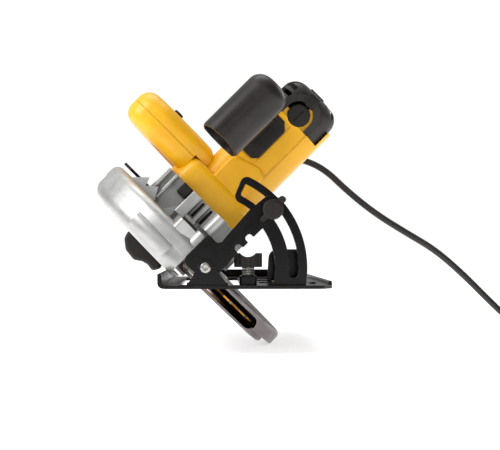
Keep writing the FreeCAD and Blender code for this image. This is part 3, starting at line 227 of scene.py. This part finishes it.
def brushed(name, base, dark, axis_at=None, scale=(1, 1, 60), rough=0.28, depth=0.00001):
    """Turned or brushed steel. axis_at, a point (y, z) in the head frame, makes rings about that axis."""
    g = Graph(name)
    rim = g.rounded(0.0004)
    if axis_at:
        coords = g.head_coords((0, -axis_at[0] * MM, -axis_at[1] * MM))
        parts = g.node("SeparateXYZ")
        g.link(coords, parts.inputs[0])
        across = g.math("SQRT", g.math("ADD", g.math("POWER", parts.outputs["Y"], 2.0),
                                       g.math("POWER", parts.outputs["Z"], 2.0)))
        joined = g.node("CombineXYZ")
        g.link(across, joined.inputs["X"])
        g.link(g.math("MULTIPLY", parts.outputs["X"], 0.05), joined.inputs["Y"])
        lines = g.noise(2600, 3, 0.7, joined.outputs[0])
    else:
        lines = g.noise(900, 4, 0.7, g.stretch(g.coords, scale))
    stain = g.noise(34, 5, 0.65)
    tone = g.mix(g.span(lines, 0.3, 0.7, 0.0, 0.55), linear(base), linear(dark))
    tone = g.mix(g.span(stain, 0.52, 0.78, 0.0, 0.5), tone, linear(dark))
    tone = g.mix(g.math("MULTIPLY", rim, 0.5), tone, linear((235, 235, 232)))
    g.bump(lines, depth, 0.5)
    return g.done(tone, g.span(lines, 0.3, 0.7, rough - 0.06, rough + 0.12), 1.0)


def painted_metal(name):
    """Glossy black paint with orange peel, scuffs, and steel showing at the worn edges."""
    g = Graph(name)
    rim = g.rounded(0.0006)
    scuff = g.noise(130, 5, 0.65, g.stretch(g.coords, (1, 6, 1)))
    tone = g.mix(g.span(g.noise(30, 3), 0.35, 0.7), linear((11, 8, 8)), linear((6, 4, 4)))
    worn = g.math("MULTIPLY", rim, g.span(scuff, 0.5, 0.62))
    dust = g.span(scuff, 0.64, 0.82, 0.0, 0.09)
    tone = g.mix(dust, tone, linear((62, 58, 57)))
    tone = g.mix(g.math("MULTIPLY", worn, 0.75), tone, linear((160, 158, 156)))
    g.bump(g.noise(420, 2, 0.5), 0.00003, 0.2)
    shine = g.math("ADD", g.span(g.noise(90, 3), 0.3, 0.7, 0.2, 0.32), g.math("MULTIPLY", dust, 0.8))
    return g.done(tone, shine, g.math("MULTIPLY", worn, 0.8), Coat_Weight=0.1, Coat_Roughness=0.1,
                  Specular_IOR_Level=0.22)


def windings(name, base, dark, pitch=900):
    g = Graph(name)
    g.rounded(0.0003)
    wires = g.node("TexWave", wave_type="BANDS", bands_direction="DIAGONAL")
    wires.inputs["Scale"].default_value = pitch
    wires.inputs["Distortion"].default_value = 1.2
    g.link(g.head_coords(), wires.inputs["Vector"])
    tone = g.mix(wires.outputs["Fac"], linear(dark), linear(base))
    g.bump(wires.outputs["Fac"], 0.0002, 0.7)
    return g.done(tone, g.span(wires.outputs["Fac"], 0, 1, 0.45, 0.28), 0.85)


def laminated(name):
    """Stacked electrical sheet, lines across the motor axis."""
    g = Graph(name)
    g.rounded(0.0003)
    sheets = g.node("TexWave", wave_type="BANDS", bands_direction="X")
    sheets.inputs["Scale"].default_value = 320
    g.link(g.head_coords(), sheets.inputs["Vector"])
    tone = g.mix(sheets.outputs["Fac"], linear((70, 68, 66)), linear((140, 137, 133)))
    g.bump(sheets.outputs["Fac"], 0.0001, 0.5)
    return g.done(tone, g.span(g.noise(300, 3), 0.3, 0.7, 0.35, 0.55), 0.8)


def rubber(name, base, dark, grain=2400, depth=0.00003, edge=0.0004):
    """Matt rubber or flexible PVC with bloom and fine grain."""
    g = Graph(name)
    if edge:
        g.rounded(edge)
    tone = g.mix(g.span(g.noise(70, 4, 0.6), 0.35, 0.68), linear(base), linear(dark))
    tone = g.mix(g.span(g.noise(420, 3), 0.6, 0.76, 0.0, 0.25), tone, linear((96, 92, 88)))
    g.bump(g.noise(grain, 3, 0.6), depth, 0.5)
    return g.done(tone, g.span(g.noise(120, 3), 0.3, 0.7, 0.46, 0.6))


# ---- materials on the CAD nodes ------------------------------------------------------------------
yellow = plastic("yellow_plastic", (251, 188, 14), (247, 178, 8), (255, 212, 70), rough=0.36,
                 edge=0.0009, wear=0.25)
black = plastic("black_plastic", (38, 34, 32), (26, 23, 21), (78, 74, 71), rough=0.46, grain=2200,
                depth=0.00003,
                cells=1500, gloss=0.3)
grip = plastic("grip_plastic", (42, 37, 35), (28, 24, 22), (74, 68, 65), rough=0.36, grain=2600,
               depth=0.00002,
               gloss=0.34)
cap_grey = plastic("cap_plastic", (56, 52, 50), (42, 39, 37), (96, 92, 88), rough=0.5, grain=2200,
                   cells=1500,
                   gloss=0.34)
cast = metal("cast_alloy", (196, 196, 194), (170, 169, 167), (246, 246, 244), rough=0.42, metallic=0.72,
             pits=700)
guard_grey = metal("guard_metal", (141, 133, 133), (112, 104, 104), (190, 186, 184), rough=0.38,
                   metallic=0.8)
paint = painted_metal("black_paint")
zinc = brushed("zinc_steel", (196, 194, 188), (140, 138, 132), scale=(60, 1, 1))
turned = brushed("turned_steel", (188, 187, 184), (120, 118, 116), axis_at=(SPIN_Y, SPIN_Z))
shaft_steel = brushed("shaft_steel", (180, 180, 178), (112, 112, 112), axis_at=(SPIN_Y, MOTOR_Z),
                      rough=0.24)
blade_steel = brushed("blade_steel", (214, 150, 52), (150, 92, 24), axis_at=(SPIN_Y, SPIN_Z), rough=0.26)
carbide = metal("carbide", (150, 150, 152), (104, 104, 106), (210, 210, 212), rough=0.3, grain=5200)
copper = windings("copper_wire", (198, 116, 66), (96, 44, 22))
bar_copper = brushed("copper_bars", (204, 128, 82), (128, 66, 38), axis_at=(SPIN_Y, MOTOR_Z))
sheets = laminated("laminations")
brass = brushed("brass", (206, 176, 98), (150, 118, 56), scale=(1, 60, 1))
carbon = metal("carbon", (52, 50, 50), (34, 33, 33), (84, 82, 82), rough=0.6, metallic=0.2)
flex = rubber("cord_rubber", (40, 36, 35), (30, 27, 26), grain=1800, depth=0.000004, edge=0)
boot = rubber("boot_rubber", (50, 47, 45), (38, 35, 33), 1800)

SKINS = {
    yellow: "motor_housing handle_left handle_right",
    grip: "front_handle",
    black: "handle_plate brush_caps trigger lock_off_button bevel_knob fence_knob depth_lever "
           "guard_lever switch_body plug cord_tie cooling_fan spindle_lock_button",
    cap_grey: "end_cap",
    cast: "upper_guard gear_case",
    guard_grey: "lower_guard",
    paint: "shoe_plate front_hinge_lug rear_hinge_lug bevel_quadrant rear_rail bevel_bracket depth_strap "
           "fence_clamp",
    zinc: "bevel_bolt bevel_pivot_screws depth_bolt depth_pivot_pin fence_screw fence_spring housing_screws "
          "shoe_rivets guard_ring guard_spring",
    turned: "blade_bolt inner_flange outer_flange spindle spindle_gear spindle_bearings",
    shaft_steel: "armature_shaft armature_bearings",
    blade_steel: "blade",
    carbide: "carbide_tips",
    copper: "field_coils armature_windings",
    bar_copper: "commutator",
    sheets: "stator_core rotor_core",
    brass: "brush_holders plug_pins",
    carbon: "carbon_brushes",
    boot: "cable_gland",
    flex: "cord_tube cord_coil",
}
for skin, names in SKINS.items():
    for name in names.split():
        mesh = nodes[name].data
        mesh.materials.clear()
        mesh.materials.append(skin)


# ---- detail pieces -------------------------------------------------------------------------------
def head_point(x, y, z):
    """A point of the upright head frame, in mm, as a row point in metres."""
    return HEAD @ (Vector((x, y, z)) * MM)


def piece(name, bm, material, body, smooth_under=35):
    """Turns a bmesh in row metres into a piece that rides on a body. Sharper bends than smooth_under split."""
    bmesh.ops.recalc_face_normals(bm, faces=bm.faces)
    mesh = bpy.data.meshes.new(name)
    bm.to_mesh(mesh)
    bm.free()
    mesh.materials.append(material)
    mesh.shade_smooth()
    made = bpy.data.objects.new(name, mesh)
    bpy.context.scene.collection.objects.link(made)
    sharp = made.modifiers.new("edges", "EDGE_SPLIT")
    sharp.split_angle = math.radians(smooth_under)
    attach(made, body)
    return made


def rounded_outline(points, radius, steps=5):
    """Corner points of a closed outline, each corner rounded with an arc-like curve."""
    out = []
    count = len(points)
    for i, corner in enumerate(points):
        corner = Vector(corner)
        before = Vector(points[i - 1]) - corner
        after = Vector(points[(i + 1) % count]) - corner
        cut = min(radius, before.length / 2.05, after.length / 2.05)
        a, b = corner + before.normalized() * cut, corner + after.normalized() * cut
        for k in range(steps + 1):
            t = k / steps
            out.append(a * (1 - t) ** 2 + corner * 2 * t * (1 - t) + b * t ** 2)
    return out


def skin_rings(bm, rings):
    """Faces between rings of equally many vertices, and over both ends."""
    for low, high in zip(rings, rings[1:]):
        for i in range(len(low)):
            j = (i + 1) % len(low)
            bm.faces.new((low[i], low[j], high[j], high[i]))
    bm.faces.new(rings[0])
    bm.faces.new(rings[-1])


def prism(bm, outline, place, lo, hi, chamfer):
    """A prism of a 2-D outline with chamfered rims. place turns (a, b, level) in mm into a row point."""
    middle = sum((Vector(p) for p in outline), Vector((0, 0))) / len(outline)
    levels = [(lo, chamfer), (lo + chamfer, 0), (hi - chamfer, 0), (hi, chamfer)]
    rings = []
    for level, inset in levels:
        ring = []
        for p in outline:
            away = Vector(p) - middle
            q = middle + away * max(0.0, 1 - inset / max(away.length, 1e-6))
            ring.append(bm.verts.new(place(q.x, q.y, level)))
        rings.append(ring)
    skin_rings(bm, rings)


def lathe(bm, profile, place, segments=48, lobes=0):
    """Turns (level, radius, lobe depth) rows about an axis; the ends close. Lobes make a star."""
    rings = []
    for level, radius, wave in profile:
        ring = []
        for k in range(segments):
            a = 2 * math.pi * k / segments
            r = radius - wave * (0.5 + 0.5 * math.cos(lobes * a))
            ring.append(bm.verts.new(place(r * math.cos(a), r * math.sin(a), level)))
        rings.append(ring)
    skin_rings(bm, rings)


def head_prism(bm, corners, corner_radius, y0, y1, chamfer, steps=5):
    """A rounded (x, z) outline of the upright head frame, drawn out along y."""
    outline = rounded_outline(corners, corner_radius, steps)
    prism(bm, outline, lambda a, b, level: head_point(a, level, b), y0, y1, chamfer)


def corners_of(x0, x1, z0, z1):
    return [(x0, z0), (x1, z0), (x1, z1), (x0, z1)]


SCREW_SEATS = (("pivot_screw_front", -146.4, -1), ("pivot_screw_rear", 136.9, 1))
SHANK_R, SCREW_HEAD_R, RECESS_R = 2.9, 4.9, 2.8
SCREW_PROFILE = [(-6.0, SHANK_R, 0), (0.0, SHANK_R, 0), (0.0, SCREW_HEAD_R, 0), (0.9, SCREW_HEAD_R, 0),
                 (1.9, 4.6, 0), (2.6, 3.9, 0), (2.9, 3.1, 0), (2.9, RECESS_R, 0.7), (1.0, 2.7, 0.7),
                 (0.8, 1.2, 0.3)]


def pivot_screws():
    """Domed screws with a six-lobed recess at both ends of the bevel axis."""
    for name, face, out in SCREW_SEATS:
        bm = bmesh.new()

        def place(a, b, level, face=face, out=out):
            return PIVOT + Vector((a, face + out * level, b)) * MM

        lathe(bm, SCREW_PROFILE, place, lobes=6)
        screw = piece(name, bm, zinc, "shoe")
        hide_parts("bevel_pivot_screws")


# Outline of the black panel, with its slats, that paints the shade in the recess behind the gear case's ribs.
PANEL = corners_of(21.9, 41, 11, 46.5)
SLAT_X0, SLAT_X1, SLAT_HEIGHT = 23.4, 39.8, 2.6
SLAT_FEET = (13.6, 18.2, 22.8, 31.2, 41.4)


def recess_shade_panel():
    """Slatted black panel behind the gear case's ribs. It is painted shade: a dark sheet that stands in for
    the shadow in the recess there.
    """
    bm = bmesh.new()
    head_prism(bm, PANEL, 2, -66.2, -64.4, 0.3)
    for foot in SLAT_FEET:
        slat = corners_of(SLAT_X0, SLAT_X1, foot, foot + SLAT_HEIGHT)
        head_prism(bm, slat, 0.8, -68.0, -66.0, 0.4, steps=3)
    piece("recess_shade_panel", bm, black, "head")


def cap_clip():
    """Clip that bridges the end cap's collar and its rim, with a raised pad."""
    bm = bmesh.new()
    head_prism(bm, corners_of(173, 185.2, 33.2, 45.4), 1.4, -62.9, -48, 0.6)
    head_prism(bm, corners_of(175, 183.2, 35.4, 43.2), 1.0, -63.5, -62, 0.4)
    piece("cap_clip", bm, black, "head")


GLAND_START, GLAND_END = Vector((-2.6, 75, 120.7)), Vector((-0.2, 108, 124.2))
GLAND_RINGS = 7
GLAND_R, GLAND_TAPER = 6.7, 0.22


def gland_ribs():
    """Moulded rings on the strain relief, tapering towards the cord."""
    bm = bmesh.new()
    start, end = GLAND_START, GLAND_END
    along = (end - start).normalized()
    side = along.cross(Vector((1, 0, 0))).normalized()
    up = side.cross(along)
    for k in range(GLAND_RINGS):
        foot = start.lerp(end, k / (GLAND_RINGS - 1))
        r = GLAND_R - GLAND_TAPER * k

        def place(a, b, level, foot=foot):
            return (foot + side * a + up * b + along * level) * MM

        lathe(bm, [(0, r - 1.4, 0), (0.5, r - 0.2, 0), (1.0, r, 0), (1.9, r, 0), (2.4, r - 0.2, 0),
                   (2.9, r - 1.4, 0)], place, 28)
    piece("gland_ribs", bm, boot, "head", 40)


pivot_screws()
# Painted shade: a dark panel for the shadow in the gear case's recess.
recess_shade_panel()
cap_clip()
gland_ribs()


# ---- cord ----------------------------------------------------------------------------------------
ROUTE = [
    (-2.8, 72, 120.6), (-1.2, 90, 121.4), (7, 112, 125), (27, 129, 132), (58, 137, 137), (92, 135, 126),
    (122, 133.5, 97), (152, 132, 73), (184, 131, 53), (218, 130, 33), (248, 130, 7), (276, 130.6, -21),
    (298, 131, -42), (314, 131.1, -51), (329, 131.2, FLOOR_Z + CORD_R),
]
PER_TURN = 16
TURNS = 7.25


def ramp(t, start, end):
    return min(1.0, max(0.0, (t - start) / (end - start)))


def coil_points():
    """Bottom layer from the outer lane in, a climb, then the top layer out again, clockwise from above."""
    out = []
    for i in range(int(TURNS * PER_TURN)):
        t = (i + 0.5) / PER_TURN
        lane = sum(ramp(t, k + 0.72, k + 1) for k in range(3)) - sum(ramp(t, k + 0.25,
                                                                          k + 0.5) for k in (4, 5, 6))
        r = (COIL_R + (1.5 - lane) * TURN) / math.cos(math.pi / PER_TURN)
        turn = math.radians(90 - 360 * t)
        z = FLOOR_Z + CORD_R + TURN * ramp(t, 3.5, 3.72)
        out.append((COIL_X + r * math.cos(turn), COIL_Y + r * math.sin(turn), z))
    return out


def nurbs(name, points, radius, material):
    data = bpy.data.curves.new(name, "CURVE")
    data.dimensions = "3D"
    data.bevel_depth = radius
    data.bevel_resolution = 5
    data.resolution_u = 8
    data.use_fill_caps = True
    spline = data.splines.new("NURBS")
    spline.points.add(len(points) - 1)
    for point, place in zip(spline.points, points):
        point.co = (*(Vector(place) * MM), 1.0)
    spline.order_u = 3
    spline.use_endpoint_u = True
    data.materials.append(material)
    made = bpy.data.objects.new(name, data)
    bpy.context.scene.collection.objects.link(made)
    return made


tail = (COIL_X + COIL_R + 1.5 * TURN, COIL_Y - 38.0, FLOOR_Z + CORD_R + TURN)
cord = nurbs("mains_cord", ROUTE + coil_points() + [tail], CORD_R * MM, flex)
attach(cord, "head")
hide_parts("cord_tube", "cord_coil")


# ---- stage ---------------------------------------------------------------------------------------
FLOOR_HALF = 20
FLOOR_DROP = 0.0002
FLOOR_GLOW = 0.56


def make_stage():
    mesh = bpy.data.meshes.new("floor")
    bm = bmesh.new()
    bmesh.ops.create_grid(bm, x_segments=1, y_segments=1, size=FLOOR_HALF)
    bm.to_mesh(mesh)
    bm.free()
    floor = bpy.data.objects.new("floor", mesh)
    floor.location.z = FLOOR_Z * MM - FLOOR_DROP
    bpy.context.scene.collection.objects.link(floor)
    g = Graph("floor_paper")
    tone = g.mix(g.span(g.noise(3, 3), 0.3, 0.7), (0.93, 0.93, 0.93, 1), (0.95, 0.95, 0.95, 1))
    g.done(tone, 0.85, Emission_Color=(1, 1, 1, 1), Emission_Strength=FLOOR_GLOW)
    mesh.materials.append(g.mat)


SKY_TOWARD = (-0.6, 0.45, 0.66)     # the sky is brightest to the left, behind and above
SKY_RANGE = (-0.5, 0.9, 0.1, 1.0)
MIRRORED_SHARE = 0.5
SEEN_WHITE = 1.05


def make_world():
    """A white background with a softer, one-sided sky for light and a dimmer one for reflections."""
    world = bpy.data.worlds.new("studio")
    bpy.context.scene.world = world
    world.use_nodes = True
    tree = world.node_tree

    def node(kind, **settings):
        n = tree.nodes.new("ShaderNode" + kind)
        for key, value in settings.items():
            setattr(n, key, value)
        return n

    def span(value, numbers):
        n = node("MapRange")
        for key, number in zip(("From Min", "From Max", "To Min", "To Max"), numbers):
            n.inputs[key].default_value = number
        tree.links.new(value, n.inputs["Value"])
        return n.outputs["Result"]

    def combined(operation, a, b):
        n = node("Math", operation=operation)
        tree.links.new(a, n.inputs[0])
        tree.links.new(b, n.inputs[1])
        return n.outputs[0]

    back = tree.nodes["Background"]
    back.inputs["Color"].default_value = (1, 1, 1, 1)
    path = node("LightPath")
    toward = node("VectorMath", operation="DOT_PRODUCT")
    toward.inputs[1].default_value = SKY_TOWARD
    tree.links.new(node("TexCoord").outputs["Generated"], toward.inputs[0])
    sky = span(toward.outputs["Value"], SKY_RANGE)
    mirrored = span(path.outputs["Is Glossy Ray"], (0.0, 1.0, 1.0, MIRRORED_SHARE))
    seen = span(path.outputs["Is Camera Ray"], (0.0, 1.0, 0.0, SEEN_WHITE))
    strength = combined("MAXIMUM", seen, combined("MULTIPLY", sky, mirrored))
    tree.links.new(strength, back.inputs["Strength"])


def area_light(name, place, target, size, power):
    data = bpy.data.lights.new(name, "AREA")
    data.shape = "RECTANGLE"
    data.size, data.size_y = size
    data.energy = power
    lamp = bpy.data.objects.new(name, data)
    lamp.location = place
    lamp.rotation_mode = "QUATERNION"
    lamp.rotation_quaternion = (Vector(target) - Vector(place)).to_track_quat("-Z", "Y")
    bpy.context.scene.collection.objects.link(lamp)


LIGHTS = [
    # name, place, target, size, power in watts
    ("key", (-1.5, -0.55, 1.25), (0, 0, 0.05), (0.9, 0.7), 17),
    ("fill", (0.1, -1.9, 0.75), (0.0, 0, 0.05), (1.2, 0.5), 2.2),
    ("top", (-0.1, 0.35, 1.6), (0.02, 0, 0.0), (1.3, 0.9), 10),
    ("rim", (1.3, 0.9, 0.8), (0, 0, 0.05), (0.5, 0.9), 6),
]
make_stage()
make_world()
for light in LIGHTS:
    area_light(*light)
bpy.context.scene.view_settings.view_transform = "Standard"
